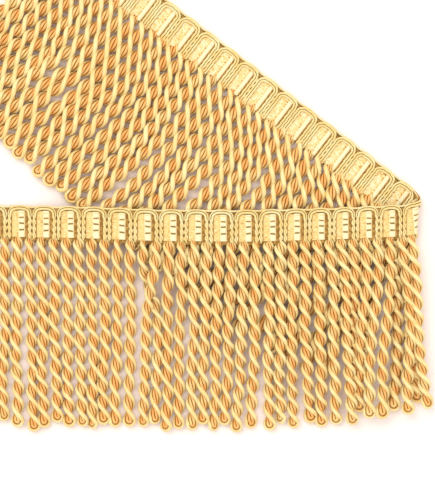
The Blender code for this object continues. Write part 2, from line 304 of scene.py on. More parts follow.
# The yarn along the top edge, which dips between two crowns
EDGE_INSET = 0.2
EDGE_STEP = 0.5
EDGE_W = 0.42
EDGE_DIP_W = 0.34
EDGE_H = 0.42
EDGE_DIP_H = 0.12
EDGE_RADIUS = 0.33
EDGE_FLATNESS = 0.95

# The satin inside an arch: how far right of the arch's middle it lies, half its width,
# how high it stands, and how pale the plain part beside it is
Satin = namedtuple("Satin", "at half high beside")
FACE_SATIN = Satin(0.55, 1.12, 0.68, 0.5)
BACK_SATIN = Satin(1.2, 0.8, 0.62, 0.7)
PANEL_HALF = 2.75
PANEL_W = (1.9, 10.8)
BACK_PANEL_W = (1.9, 11.7)
PANEL_POINTS = (24, 72)  # across and down
PANEL_UNDER = 0.05
PANEL_LOW = 0.1
PLAIN_HIGH = 0.12
PLAIN_CROWN = 0.16
# the shade of the low strip beside the satin: painted shadow
LOW_SHADE = 0.16
SPOTS_HIGH = 0.05
FACE_SPOTS_SHADE = 0.13
BACK_SPOTS_SHADE = 0.2
SPOT_SPREADS = 0.8  # how much of a spot its neighbours share
SPOT_SPREAD_LESS = 2.2
ROUGH_HIGH = 0.015
ROUGH_SHADE = 0.08

# Where the face's satin is bound down, and how dark the painted shadow along the stitch is
Stitch = namedtuple("Stitch", "w dark")
STITCHES = (Stitch(2.5, 0.4), Stitch(4.25, 1.6), Stitch(6.1, 2.2), Stitch(8.35, 2.2))
STITCH_SHIFT = 0.25
STITCH_UNEVEN = 0.08
STITCH_SLOPE = 0.12
BOUND_HALF = 0.5
BOUND_DEPTH = 0.1
THREAD_HALF = 0.24
THREAD_REACH = 0.95
THREAD_ASIDE = 0.05
THREAD_ENDS = 4.0
THREAD_DEPTH = 0.22

# Waves over a panel: how long, how far each slants, and how much it changes height or shade
Hatch = namedtuple("Hatch", "length slant much")
FACE_RIBS = Hatch(0.62, 0.25, 0.03)
# spots of painted shadow on the low strip past the face's satin
FACE_SPOTS = Hatch(1.1, 0.0, 0.25)
BACK_RIPPLES = Hatch(2.1, 0.0, 0.04)
BACK_HATCH = Hatch(0.8, 0.6, 0.08)
PITS_LENGTH = 1.05  # the pits at the left of the back's satin, dented and darkened with painted shade
PITS_ASIDE = 0.15
PITS_HALF = 0.2
PITS_SHADE = 0.55
PITS_DEPTH = 0.1

# The woven tape under the yarns, coloured dark brown as painted shade in the gaps between them
TAPE_TOP_W = 1.1
TAPE_HALF = 0.16
TAPE_INSET = 0.1
TAPE_POINTS = (420, 9)  # along and across

# Each yarn's colours and gloss, the fine lines of its filaments, and the turn from the
# cord's middle outwards over which it goes from its painted groove shade to the others
YarnLook = namedtuple(
    "YarnLook", "deep base pale roughness sheen lines_round lines_per_mm bump groove_from groove_to"
)
PALE_YARN = YarnLook(
    deep=(0.50, 0.22, 0.03),
    base=(0.95, 0.71, 0.28),
    pale=(0.98, 0.83, 0.41),
    roughness=0.42,
    sheen=0.06,
    lines_round=6,
    lines_per_mm=1.1,
    bump=0.8,
    groove_from=0.12,
    groove_to=0.5,
)
INNER_YARN = YarnLook(
    deep=(0.36, 0.10, 0.01),
    base=(0.94, 0.46, 0.12),
    pale=(0.96, 0.69, 0.26),
    roughness=0.5,
    sheen=0.05,
    lines_round=5,
    lines_per_mm=1.3,
    bump=0.3,
    groove_from=0.16,
    groove_to=0.58,
)
BRAID_YARN = YarnLook(
    deep=(0.42, 0.18, 0.02),
    base=(0.93, 0.69, 0.26),
    pale=(0.97, 0.82, 0.42),
    roughness=0.45,
    sheen=0.08,
    lines_round=5,
    lines_per_mm=1.6,
    bump=0.6,
    groove_from=0.3,
    groove_to=0.85,
)
YARN_SPECULAR = 0.35
SHEEN_ROUGHNESS = 0.4
BUMP_DISTANCE = 0.00006
FILAMENT_SHADE = 0.12  # how much painted shade shows in the lines between filaments
PATCH_SCALE = 260.0
PATCH_RANGE = (0.35, 0.65)
CHANCE_SHARE = 0.5  # how much one cord may differ in colour from the next

# The colours of a panel by its shade: the painted shadow of a stitch below nought, then what each
# tone adds: painted shadow, plain yarn, and pale satin, cream of its own and partly painted sheen
STITCH_SHADOW = (0.16, 0.15, 0.06)
PanelTone = namedtuple("PanelTone", "shade_from shade_to colour")
PANEL_TONES = (
    PanelTone(-0.35, 0.12, (0.66, 0.34, 0.08)),
    PanelTone(0.14, 0.48, (0.93, 0.66, 0.24)),
    PanelTone(0.56, 0.95, (0.93, 0.84, 0.52)),
)
# the colour of the painted shade in the lines between the satin's filaments
SATIN_FILAMENT_SHADE = (0.8, 0.5, 0.2)
SATIN_LINES_PER_MM = 3.2
SATIN_BUMP = 0.5
# dark browns for the tape: painted shade in the gaps between the braid's yarns
TAPE_SHADE_COLOURS = ((0.30, 0.15, 0.03), (0.52, 0.30, 0.08))
TAPE_SCALE = 900.0
TAPE_RANGE = (0.4, 0.6)

# The floor and the light
FLOOR_REACH = 3.0
FLOOR_COLOURS = ((0.96, 0.86, 0.815), (0.98, 0.88, 0.835))
FLOOR_SCALE = 6.0
FLOOR_RANGE = (0.3, 0.7)
Light = namedtuple("Light", "name place size power colour")
LIGHTS = (
    Light("key", (-0.4, 0.6, 1.25), 1.0, 7.5, (1.0, 0.985, 0.96)),
    Light("fill", (0.6, -0.3, 1.3), 0.9, 3.0, (0.98, 0.99, 1.0)),
)
WORLD_STRENGTH = 0.95


def column(rows, name):
    return [getattr(row, name) for row in rows]


def looked_up(rows, key, name, value):
    return np.interp(value, column(rows, key), column(rows, name))


def ease(value):
    value = np.clip(value, 0.0, 1.0)
    return value * value * (3.0 - 2.0 * value)


def from_pixel(across, down):
    return (across - CENTRE_PX[0]) * PIXEL, (CENTRE_PX[1] - down) * PIXEL


def to_pixel_across(x):
    return x / PIXEL + CENTRE_PX[0]


ALONG = np.array([math.cos(UNDER_SLOPE), -math.sin(UNDER_SLOPE)])
DOWN = np.array([-math.sin(UNDER_SLOPE), -math.cos(UNDER_SLOPE)])
ACROSS_CREASE = np.array([math.cos(UNDER_SLOPE / 2), -math.sin(UNDER_SLOPE / 2)])
FOLD_CORNER = np.array(from_pixel(*FOLD_PX))
HALF_TURN = math.pi * FOLD_RADIUS


def on_strip(places):
    """Flat places on the strip, as an array of (s, w, h), where the folded strip holds them."""
    s, w, h = np.moveaxis(np.asarray(places, float), -1, 0)
    flat = FOLD_CORNER + s[..., None] * ALONG + w[..., None] * DOWN
    past = (flat - FOLD_CORNER) @ ACROSS_CREASE
    turn = np.clip((past + FOLD_EARLY * w) / FOLD_RADIUS, 0.0, math.pi)
    height = LEG_HALF + FOLD_RADIUS - (FOLD_RADIUS - h) * np.cos(turn)
    share = (1.0 - np.cos(turn)) / 2
    full = FOLD_FULL_TOP + (FOLD_FULL_LOW - FOLD_FULL_TOP) * w / HEADING_DEPTH
    out = share * (HALF_TURN - 2.0 * past) + (full * FOLD_RADIUS - h) * np.sin(turn)
    x, y = np.moveaxis(flat + out[..., None] * ACROSS_CREASE, -1, 0)
    at = to_pixel_across(x)
    right = share * PIXEL * looked_up(OVER_SHIFTS, "across", "right", at)
    below = share * PIXEL * looked_up(OVER_SHIFTS, "across", "down", at)
    start, end = DRAPE_PX
    drop = share * 2 * FOLD_RADIUS * (1.0 - ease((at - start) / (end - start)))
    return np.stack([x + right, y - below, height - drop], axis=-1)


def rippled(along, length, phase=0.0):
    return np.sin(FULL_TURN * along / length + phase)


def bell(distance, half):
    return np.exp(-((distance / half) ** 2))


def uneven(number, amount):
    wave = math.sin(number * UNEVEN_RATE + UNEVEN_START) * UNEVEN_SPREAD
    return amount * (2.0 * (wave - math.floor(wave)) - 1.0)


def root_s(number):
    if number in FOLD_CORDS_S:
        return FOLD_CORDS_S[number]
    aside = OVER_ASIDE * float(ease((number - 3) / 4)) if number > 0 else 0.0
    return FIRST_CORD_S + CORD_PITCH * (number - 1 if number > 0 else number) + aside


def smoothed(points, times):
    for _ in range(times):
        inside = (points[:-2] + 2.0 * points[1:-1] + points[2:]) / 4.0
        points = np.concatenate([points[:1], inside, points[-1:]])
    return points


def hanging(number):
    """A cord's way from its root to its tip, as (x, y) points, and how far it is lifted."""
    root = on_strip((root_s(number), ROOT_BOTTOM, 0.0))[:2]
    tip = from_pixel(
        looked_up(TIPS, "number", "across", number),
        looked_up(TIPS, "number", "down", number),
    )
    stops = [root]
    stops += [from_pixel(way.across, way.down) for way in WAYS if way.number == number]
    stops.append(tip)
    stops = np.array(stops)
    lifts = [0.0] + [way.lift for way in WAYS if way.number == number]
    lifts.append(lifts[-1])
    if len(stops) > 2:
        down = np.linspace(stops[0, 1], stops[-1, 1] + TIP_LOOP, PATH_STEPS + 1)
        across = np.interp(-down, -stops[:, 1], stops[:, 0])
        lift = np.interp(-down, -stops[:, 1], lifts)
    else:
        share = np.linspace(0.0, 1.0, PATH_STEPS + 1)
        across = root[0] + (tip[0] - root[0]) * share**LEAN_BEND
        down = root[1] + (tip[1] + TIP_LOOP - root[1]) * share
        lift = 0.0 * share
    return smoothed(np.stack([across, down, lift], axis=-1), WAY_SMOOTHED)


def under_path(number):
    """The middle of an under cord, on the floor."""
    if number >= 0:
        x, y, _ = hanging(number).T
        return np.stack([x, y, np.full(len(x), UNDER_RADIUS)], axis=-1)
    s = root_s(number)
    x, y, _ = on_strip((s, ROOT_BOTTOM, 0.0))
    left_at_tip = looked_up(UNDER_LIES, "s", "left", s) + uneven(number, UNEVEN_TURN)
    turn = looked_up(UNDER_LIES, "s", "turn", s)
    length = looked_up(UNDER_LIES, "s", "length", s) + TIP_LENGTH - TIP_LOOP
    length += uneven(number + LENGTHS_FROM, UNEVEN_LENGTH)
    share = (np.arange(PATH_STEPS) + 0.5) / PATH_STEPS
    left = np.radians(left_at_tip - turn * (1.0 - share) ** TURN_BEND)
    step = length / PATH_STEPS
    xs = x - np.concatenate([[0.0], np.cumsum(step * np.sin(left))])
    ys = y - np.concatenate([[0.0], np.cumsum(step * np.cos(left))])
    return np.stack([xs, ys, np.full(PATH_STEPS + 1, UNDER_RADIUS)], axis=-1)


def under_reach():
    """The line of the under cords' tips, as x and y from left to right."""
    tips = np.array(sorted(tuple(under_path(number)[-1][:2]) for number in UNDER_CORDS))
    return tips[:, 0], tips[:, 1] - TIP_LOOP


def over_path(number, reach):
    """The middle of an over cord: on the under cords as far as those reach, then down."""
    z = on_strip((root_s(number), ROOT_BOTTOM, 0.0))[2]
    xs, ys, lift = hanging(number).T
    past_tips = np.interp(xs, *reach) - ys
    held = CORD_RADIUS + (HIGH - CORD_RADIUS) * (1.0 - ease((past_tips - RAMP_START) / RAMP))
    sagging = CORD_RADIUS + (z - CORD_RADIUS) * (1.0 - ease((ys[0] - ys) / RAMP))
    heights = np.maximum(np.maximum(held, sagging) + lift, CORD_RADIUS)
    return np.stack([xs, ys, heights], axis=-1)


class Yarns:
    """Gathers tubes into one mesh, with a map of the length and turn of each."""

    def __init__(self):
        self.points = []
        self.quads = []
        self.caps = []
        self.maps = []
        self.tints = []
        self.count = 0

    def tube(self, rings, along, shade, chance):
        """rings holds a ring of points for each place along; shade is one value for each point."""
        steps, sides = rings.shape[:2]
        ring, side = np.meshgrid(np.arange(steps - 1), np.arange(sides), indexing="ij")
        after = (side + 1) % sides
        corners = [ring * sides + side, ring * sides + after]
        corners += [(ring + 1) * sides + after, (ring + 1) * sides + side]
        self.quads.append(self.count + np.stack(corners, axis=-1).reshape(-1, 4))
        first = self.count + np.arange(sides)
        self.caps.append(first[::-1])
        self.caps.append(first + (steps - 1) * sides)
        lengths = [along[ring], along[ring], along[ring + 1], along[ring + 1]]
        turns = [side / sides, (side + 1) / sides, (side + 1) / sides, side / sides]
        self.maps.append(np.stack([np.stack(lengths, -1), np.stack(turns, -1)], -1).reshape(-1, 2))
        self.points.append(rings.reshape(-1, 3))
        tint = np.zeros((steps * sides, 4))
        tint[:, 0] = np.broadcast_to(shade, (steps, sides)).reshape(-1)
        tint[:, 1] = chance
        tint[:, 3] = 1.0
        self.tints.append(tint)
        self.count += steps * sides

    def made(self, name, finish):
        mesh = bpy.data.meshes.new(name)
        points = np.concatenate(self.points) * MM
        faces = np.concatenate(self.quads).tolist() + [cap.tolist() for cap in self.caps]
        mesh.from_pydata(points.tolist(), [], faces)
        flat = np.zeros((len(mesh.loops), 2))
        mapped = np.concatenate(self.maps)
        flat[: len(mapped)] = mapped
        mesh.uv_layers.new(name="yarn").data.foreach_set("uv", flat.ravel())
        tint = mesh.attributes.new("tint", "FLOAT_COLOR", "POINT")
        tint.data.foreach_set("color", np.concatenate(self.tints).ravel())
        mesh.materials.append(finish)
        mesh.shade_smooth()
        obj = bpy.data.objects.new(name, mesh)
        bpy.context.scene.collection.objects.link(obj)
        return obj


def unit(vectors):
    return vectors / np.linalg.norm(vectors, axis=-1, keepdims=True)


def along_of(points):
    steps = np.linalg.norm(np.diff(points, axis=0), axis=-1)
    return np.concatenate([[0.0], np.cumsum(steps)])


def above_floor(points):
    points[..., 2] = np.maximum(points[..., 2], 0.0)
    return points


def rings_round(points, outward, radius, sides, flatness):
    """Rings of points round a line; outward is the thin direction at each of its points."""
    forward = unit(np.gradient(points, axis=0))
    outward = unit(outward - np.sum(outward * forward, axis=-1, keepdims=True) * forward)
    aside = np.cross(forward, outward)
    turn = FULL_TURN * np.arange(sides) / sides
    radius = np.broadcast_to(radius, len(points))[:, None, None]
    thin = np.cos(turn)[None, :, None] * outward[:, None, :] * flatness
    wide = np.sin(turn)[None, :, None] * aside[:, None, :]
    return points[:, None, :] + radius * (thin + wide), np.cos(turn)


def doubled_line(path, angle, out, aside, tip_spread):
    """One yarn of a cord: down one ply, round the loop at the tip and up the other ply."""
    forward = unit(np.gradient(path, axis=0))
    right = unit(np.cross((0.0, 0.0, 1.0), forward))
    up = np.cross(forward, right)
    ply = np.cos(angle)[:, None] * right + np.sin(angle)[:, None] * up
    beside = -np.sin(angle)[:, None] * right + np.cos(angle)[:, None] * up
    spread = tip_spread[:, None]
    down = spread * (out * ply + aside * beside)
    back = spread * (-out * ply + aside * beside)
    turn = np.linspace(0.0, math.pi, LOOP_STEPS + 2)[1:-1, None]
    loop = np.cos(turn) * ply[-1] + np.sin(turn) * forward[-1]
    loop = spread[-1] * (out * loop + aside * beside[-1])
    offsets = np.concatenate([down, loop, back[::-1]])
    middles = np.concatenate([path, np.repeat(path[-1:], LOOP_STEPS, axis=0), path[::-1]])
    return middles + offsets, offsets


def add_cord(pale, inner, path, thickness, chance, rng):
    """One cord of two plies round a path."""
    total = along_of(path)[-1]
    twisted = total - LENS_AT
    halves = round(2.0 * twisted / (LAY * (1.0 + rng.uniform(-LAY_SPREAD, LAY_SPREAD))))
    lay = 2.0 * twisted / halves
    steps = int(round(total / lay * STEPS_PER_LAY))
    gone = np.linspace(0.0, total, steps)
    lengths = along_of(path)
    line = np.stack([np.interp(gone, lengths, path[:, axis]) for axis in range(3)], axis=-1)
    line = smoothed(line, LINE_SMOOTHED)
    start = rng.normal(0.0, START_SPREAD)
    drift = rng.uniform(-DRIFT_SPREAD, DRIFT_SPREAD) * np.sin(gone / total * math.pi)
    angle = -FULL_TURN * (gone - LENS_AT) / lay + start + drift
    near_tip = ease((gone - (total - TIP_STRETCH)) / TIP_STRETCH)
    swell = SWELL * rippled(gone, rng.uniform(*SWELL_LENGTHS), rng.uniform(*PHASES))
    spread = thickness * (1.0 + rng.uniform(-THICKNESS_SPREAD, THICKNESS_SPREAD) + swell)
    spread *= 1.0 + rng.uniform(*TIP_SWELLS) * near_tip
    spread *= ROOT_SHARE + (1.0 - ROOT_SHARE) * ease(gone / ROOT_FULL)
    thick = np.concatenate([spread, np.full(LOOP_STEPS, spread[-1]), spread[::-1]])
    kinds = (
        (pale, PALE_OUT, 0.0, PALE_RADIUS, PALE_SIDES, PALE_FLATNESS),
        (inner, INNER_OUT, INNER_ASIDE, INNER_RADIUS, INNER_SIDES, 1.0),
        (inner, INNER_OUT, -INNER_ASIDE, INNER_RADIUS, INNER_SIDES, 1.0),
    )
    for yarns, out, aside, radius, sides, flatness in kinds:
        points, offsets = doubled_line(line, angle, out, aside, spread)
        rings, facing = rings_round(points, offsets, radius * thick, sides, flatness)
        # painted shade: each yarn is coloured darker where it faces the cord's middle, between the
        # plies
        shade = facing[None, :] * 0.5 + 0.5
        yarns.tube(above_floor(rings), along_of(points), shade, chance)


def swayed(path, calm, rng):
    """A path with the small waves of a cord that fell as it liked."""
    gone = along_of(path)
    grown = calm * ease(gone / SWAY_GROWS) * ease((gone[-1] - gone) / SWAY_ENDS)
    waves = np.zeros(len(path))
    for sway in SWAYS:
        waves += sway.size * rippled(gone, sway.length, rng.uniform(0.0, FULL_TURN))
    forward = unit(np.gradient(path, axis=0))
    right = unit(np.cross((0.0, 0.0, 1.0), forward))
    return path + (grown * waves)[:, None] * right


def from_root(path, number):
    """The path with the short stretch inside the braid before it."""
    w = np.linspace(ROOT_W, ROOT_BOTTOM, ROOT_POINTS + 1)[:-1]
    s = np.full(ROOT_POINTS, root_s(number))
    start = on_strip(np.stack([s, w, np.zeros(ROOT_POINTS)], axis=-1))
    return smoothed(np.concatenate([start, path]), ROOT_SMOOTHED)


def strip_tube(yarns, places, sign, radius, flatness, chance):
    """A yarn of the braid, laid out on the flat strip and then carried to its place.

    sign is -1 for a yarn of the face and 1 for one of the back.
    """
    outward = np.broadcast_to((0.0, 0.0, sign), places.shape)
    rings, facing = rings_round(places, outward, radius, STRIP_YARN_SIDES, flatness)
    # painted shade: each braid yarn is coloured darker on its sides and underside, towards the
    # strip
    shade = facing[None, :] * 0.5 + 0.5
    yarns.tube(above_floor(on_strip(rings)), along_of(places), shade, chance)


def arch_line(centre, half, top, bottom, step):
    """An arch's line, as points (s, w), from the foot of its first leg to that of its second."""
    power = 2.0 / CROWN_POWER
    leg = np.arange(bottom, SPRING_W, -step)
    turn = np.linspace(0.0, math.pi, CROWN_POINTS)
    bend_s = centre - half * np.sign(np.cos(turn)) * np.abs(np.cos(turn)) ** power
    bend_w = SPRING_W - (SPRING_W - top) * np.abs(np.sin(turn)) ** power
    s = np.concatenate([np.full(len(leg), centre - half), bend_s, np.full(len(leg), centre + half)])
    w = np.concatenate([leg, bend_w, leg[::-1]])
    points = np.stack([s, w], axis=-1)
    lengths = along_of(points)
    gone = np.arange(0.0, lengths[-1], step)
    return np.stack([np.interp(gone, lengths, points[:, axis]) for axis in range(2)], axis=-1), gone


def across_line(line):
    forward = unit(np.gradient(line, axis=0))
    return np.stack([-forward[:, 1], forward[:, 0]], axis=-1)


def add_face_arch(yarns, start, rng):
    """The face of one arch: two yarns side by side over its crown and twisted down its legs."""
    centre = start + ARCH_PITCH / 2
    line, gone = arch_line(centre, FACE_HALF, CROWN_W, FACE_END_W, FACE_STEP)
    total = gone[-1]
    leg_length = FACE_END_W - SPRING_W
    phase = rng.uniform(0.0, FULL_TURN)
    into_leg = np.clip(np.maximum(leg_length - gone, gone - (total - leg_length)), 0.0, None)
    late = rng.uniform(-TWIST_SPREAD, TWIST_SPREAD)
    twist = into_leg * math.pi / LEG_WAVE + late * ease(into_leg)
    twist *= np.where(gone < total / 2, 1.0, -1.0)
    aside = across_line(line)
    chance = rng.uniform()
    sink = ease((into_leg - leg_length + SINKS) / SINKS)
    on_leg = ease(into_leg / TWIST_GROWS)
    for side, crown_radius in FACE_YARNS:
        offset = side * (APART - LEG_CLOSER * on_leg) * np.cos(twist)
        offset += LEG_SWAY * on_leg * rippled(gone, LEG_WAVE, phase)
        lift = YARN_HIGH + side * (CROWN_ROLL + LEG_ROLL * on_leg) * np.sin(twist)
        lift += CROWN_TILT * side * (1.0 - on_leg)
        flat = line + offset[:, None] * aside
        places = np.concatenate([flat, -(lift * (1.0 - SUNK * sink))[:, None]], axis=-1)
        radius = crown_radius + (LEG_RADIUS - crown_radius) * on_leg
        strip_tube(yarns, places, -1.0, radius * (1.0 - THINNED * sink), FACE_FLATNESS, chance)


def add_back_arch(yarns, start, rng):
    """The back of one arch: two smooth yarns side by side all the way round."""
    centre = start + ARCH_PITCH / 2
    line, gone = arch_line(centre, BACK_HALF, BACK_CROWN_W, BACK_END_W, BACK_STEP)
    aside = across_line(line)
    chance = rng.uniform()
    ripple = BACK_RIPPLE * rippled(gone, LEG_WAVE, rng.uniform(0.0, FULL_TURN))
    for side in (-1.0, 1.0):
        flat = line + (side * BACK_APART + ripple)[:, None] * aside
        places = np.concatenate([flat, (YARN_HIGH + side * ripple)[:, None]], axis=-1)
        strip_tube(yarns, places, 1.0, BACK_RADIUS, 1.0, chance)


def add_edge(yarns, sign, rng):
    """The thin yarn that bridges the crowns along the top edge."""
    s = np.arange(FIRST_S + EDGE_INSET, STRIP_END - EDGE_INSET, EDGE_STEP)
    dip = 0.5 + 0.5 * np.cos(FULL_TURN * (s - FIRST_S) / ARCH_PITCH)
    w = EDGE_W + EDGE_DIP_W * dip
    h = sign * (EDGE_H - EDGE_DIP_H * dip)
    places = np.stack([s, w, h], axis=-1)
    strip_tube(yarns, places, sign, EDGE_RADIUS, EDGE_FLATNESS, rng.uniform())


def mottled(shape, rng):
    """Soft spots of about two points across, with a spread of about one."""
    spots = rng.standard_normal(shape)
    for axis in (0, 1):
        spots = spots + SPOT_SPREADS * (np.roll(spots, 1, axis) + np.roll(spots, -1, axis))
    return spots / SPOT_SPREAD_LESS


def hatched(hatch, down, across, phase=0.0):
    return rippled(down + hatch.slant * across, hatch.length, phase)


def stitched(height, shade, down, across, on_satin, rng):
    """The face's panel: its satin bound down by stitches, each a dent with painted shadow along it,
    and spots of painted shadow on the low strip past it.
    """
    shift = rng.uniform(-STITCH_SHIFT, STITCH_SHIFT)
    for stitch in STITCHES:
        line = stitch.w + shift + rng.uniform(-STITCH_UNEVEN, STITCH_UNEVEN)
        line = line + rng.uniform(-STITCH_SLOPE, STITCH_SLOPE) * across
        bound = BOUND_DEPTH * bell(down - line, BOUND_HALF)
        stitch_groove_shade = bell(down - line, THREAD_HALF)
        reach = THREAD_REACH - np.abs(across - FACE_SATIN.at - THREAD_ASIDE)
        stitch_groove_shade *= ease(reach * THREAD_ENDS)
        height -= on_satin * (bound + THREAD_DEPTH * stitch_groove_shade * min(stitch.dark, 1.0))
        # painted shadow along the stitch
        shade -= stitch.dark * stitch_groove_shade
    height += FACE_RIBS.much * on_satin * hatched(FACE_RIBS, down, across)
    spots = hatched(FACE_SPOTS, down, across, rng.uniform(*PHASES))
    # darker spots of painted shadow on the low strip past the satin
    shade -= FACE_SPOTS.much * (across > FACE_SATIN.at) * (1.0 - on_satin) * spots
    return height, shade


def pitted(height, shade, down, across, on_satin, rng):
    """The back's panel: a rippled field with hatched satin and a row of pits beside it, dented and
    darkened with painted shade.
    """
    height += BACK_RIPPLES.much * hatched(BACK_RIPPLES, down, across, rng.uniform(*PHASES))
    edge = bell(across - BACK_SATIN.at + BACK_SATIN.half + PITS_ASIDE, PITS_HALF)
    pits = 0.5 + 0.5 * rippled(down, PITS_LENGTH, rng.uniform(*PHASES))
    # painted shade in the pits
    shade -= PITS_SHADE * edge * pits
    height -= PITS_DEPTH * edge * pits
    shade += BACK_HATCH.much * on_satin * hatched(BACK_HATCH, down, across)
    return height, shade


def add_panel(yarns, start, face, rng):
    """The inside of one arch as a field of heights and shades: a plain part, the satin, and a low
    strip coloured as painted shadow.
    """
    centre = start + ARCH_PITCH / 2
    satin = FACE_SATIN if face else BACK_SATIN
    across_points, down_points = PANEL_POINTS
    s = np.linspace(centre - PANEL_HALF, centre + PANEL_HALF, across_points)
    w = np.linspace(*(PANEL_W if face else BACK_PANEL_W), down_points)
    down, grid_s = np.meshgrid(w, s, indexing="ij")
    across = centre - grid_s if face else grid_s - centre
    ridge = np.sqrt(np.clip(1.0 - ((across - satin.at) / satin.half) ** 4, 0.0, 1.0))
    plain_at = (satin.at - satin.half - PANEL_HALF) / 2
    plain_half = PANEL_HALF + plain_at
    plain = np.sqrt(np.clip(1.0 - ((across - plain_at) / plain_half) ** 2, 0.0, 1.0))
    on_satin = ease(ridge * 2.0)
    on_plain = np.where(across < satin.at, 1.0 - on_satin, 0.0) * ease(plain * 3.0)
    height = PANEL_LOW + (PLAIN_HIGH + PLAIN_CROWN * plain) * on_plain
    height += (satin.high - PANEL_LOW) * ridge
    # the low strip gets painted shadow; the satin gets its pale tone, partly painted sheen
    shade = satin.beside * on_plain + on_satin + LOW_SHADE * (1.0 - on_plain - on_satin)
    worked = stitched if face else pitted
    height, shade = worked(height, shade, down, across, on_satin, rng)
    spots = mottled(height.shape, rng)
    height += SPOTS_HIGH * on_plain * spots
    shade += (FACE_SPOTS_SHADE if face else BACK_SPOTS_SHADE) * on_plain * spots
    height += ROUGH_HIGH * rng.standard_normal(height.shape)
    shade += ROUGH_SHADE * rng.standard_normal(shade.shape)
    sign = -1.0 if face else 1.0
    low = sign * PANEL_UNDER
    top = np.stack([grid_s, down, sign * height], axis=-1)
    corners = [np.stack([np.full(len(w), at), w, np.full(len(w), low)], -1) for at in (s[-1], s[0])]
    rows = np.concatenate([top, np.stack(corners, axis=1)], axis=1)
    # the low corners get shade nought: painted shadow down the panel's sides
    shades = np.concatenate([shade, np.zeros((len(w), len(corners)))], axis=1)
    if face:
        rows, shades = rows[:, ::-1], shades[:, ::-1]
    yarns.tube(above_floor(on_strip(rows)), w, shades, rng.uniform())


def make_shade_tape(finish):
    """The woven tape that the braid's yarns are worked on, coloured dark brown as painted shade in
    the gaps between them.
    """
    along_points, across_points = TAPE_POINTS
    s = np.linspace(FIRST_S + TAPE_INSET, STRIP_END - TAPE_INSET, along_points)
    w = np.linspace(TAPE_TOP_W, HEADING_DEPTH, across_points)
    half = np.full((len(s), len(w)), TAPE_HALF)
    up = np.stack([*np.meshgrid(s, w, indexing="ij"), half], axis=-1)
    low = up * (1.0, 1.0, -1.0)
    rows = np.concatenate([up, low[:, ::-1]], axis=1)
    yarns = Yarns()
    yarns.tube(above_floor(on_strip(rows)), s, np.zeros(rows.shape[:2]), 0.5)
    return yarns.made("braid_shade_tape", finish)


def shader(name, roughness, sheen, specular):
    finish = bpy.data.materials.new(name)
    finish.use_nodes = True
    nodes = finish.node_tree.nodes
    principled = nodes["Principled BSDF"]
    principled.inputs["Roughness"].default_value = roughness
    principled.inputs["Sheen Weight"].default_value = sheen
    principled.inputs["Sheen Roughness"].default_value = SHEEN_ROUGHNESS
    principled.inputs["Specular IOR Level"].default_value = specular
    return finish, nodes, finish.node_tree.links, principled


def mixed(nodes, links, factor, low, high):
    mix = nodes.new("ShaderNodeMix")
    mix.data_type = "RGBA"
    if hasattr(factor, "is_output"):
        links.new(factor, mix.inputs["Factor"])
    else:
        mix.inputs["Factor"].default_value = factor
    for socket, value in ((mix.inputs["A"], low), (mix.inputs["B"], high)):
        if hasattr(value, "is_output"):
            links.new(value, socket)
        else:
            socket.default_value = (*value, 1.0)
    return mix.outputs["Result"]


def ranged(nodes, links, value, low, high, to_low=0.0, to_high=1.0):
    node = nodes.new("ShaderNodeMapRange")
    node.interpolation_type = "SMOOTHSTEP"
    links.new(value, node.inputs["Value"])
    node.inputs["From Min"].default_value = low
    node.inputs["From Max"].default_value = high
    node.inputs["To Min"].default_value = to_low
    node.inputs["To Max"].default_value = to_high
    return node.outputs["Result"]


def tint_channels(nodes, links):
    attribute = nodes.new("ShaderNodeAttribute")
    attribute.attribute_name = "tint"
    split = nodes.new("ShaderNodeSeparateColor")
    links.new(attribute.outputs["Color"], split.inputs["Color"])
    return split.outputs["Red"], split.outputs["Green"]


def worked_out(nodes, links, operation, *values):
    """A maths node, of which each value is a number or the output of another node."""
    node = nodes.new("ShaderNodeMath")
    node.operation = operation
    for socket, value in zip(node.inputs, values):
        if hasattr(value, "is_output"):
            links.new(value, socket)
        else:
            socket.default_value = value
    return node.outputs["Value"]


def filaments(nodes, links, principled, per_turn, per_mm, strength):
    """Fine lines that wind round a yarn, as its filaments do."""
    uv = nodes.new("ShaderNodeUVMap")
    uv.uv_map = "yarn"
    split = nodes.new("ShaderNodeSeparateXYZ")
    links.new(uv.outputs["UV"], split.inputs["Vector"])
    along = worked_out(nodes, links, "MULTIPLY", split.outputs["X"], per_mm)
    lines = worked_out(nodes, links, "MULTIPLY_ADD", split.outputs["Y"], per_turn, along)
    turned = worked_out(nodes, links, "MULTIPLY", lines, FULL_TURN)
    height = worked_out(nodes, links, "SINE", turned)
    bump = nodes.new("ShaderNodeBump")
    bump.inputs["Strength"].default_value = strength
    bump.inputs["Distance"].default_value = BUMP_DISTANCE
    links.new(height, bump.inputs["Height"])
    links.new(bump.outputs["Normal"], principled.inputs["Normal"])
    return height


def noise(nodes, links, scale):
    coordinates = nodes.new("ShaderNodeTexCoord")
    node = nodes.new("ShaderNodeTexNoise")
    node.inputs["Scale"].default_value = scale
    node.inputs["Detail"].default_value = 2.0
    links.new(coordinates.outputs["Object"], node.inputs["Vector"])
    return node.outputs["Fac"]


